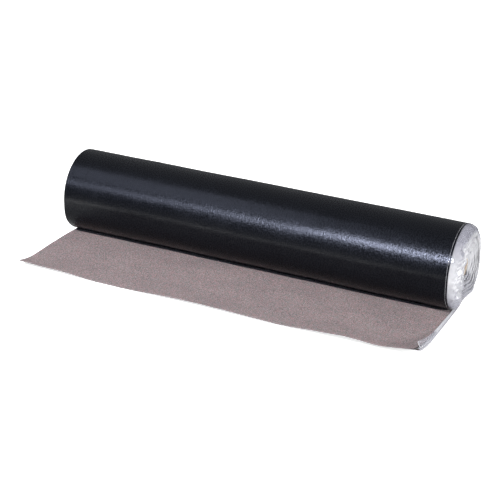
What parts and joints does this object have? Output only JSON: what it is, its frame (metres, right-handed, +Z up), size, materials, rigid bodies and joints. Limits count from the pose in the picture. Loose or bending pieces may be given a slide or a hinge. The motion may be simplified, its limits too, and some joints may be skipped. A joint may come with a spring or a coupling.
{
  "type": "roll of roofing felt",
  "caption": "Roll of bitumen roofing felt on a cardboard core, its loose end drawn out flat in front and a crumpled clear lap film standing out of one end.",
  "frame": {"origin": "centre of the cardboard core's bore, halfway along the roll", "axes": "+X along the roll towards the end with the lap film, -Y towards the loose end, +Z up"},
  "size_m": [1.0215, 0.407, 0.2],
  "materials": {
    "felt": "satin",
    "cardboard": "matt",
    "clear_film": "gloss"
  },
  "bodies": {
    "root": {"felt_sheet": "felt", "core_tube": "cardboard", "lap_film": "clear_film"}
  },
  "joints": []
}
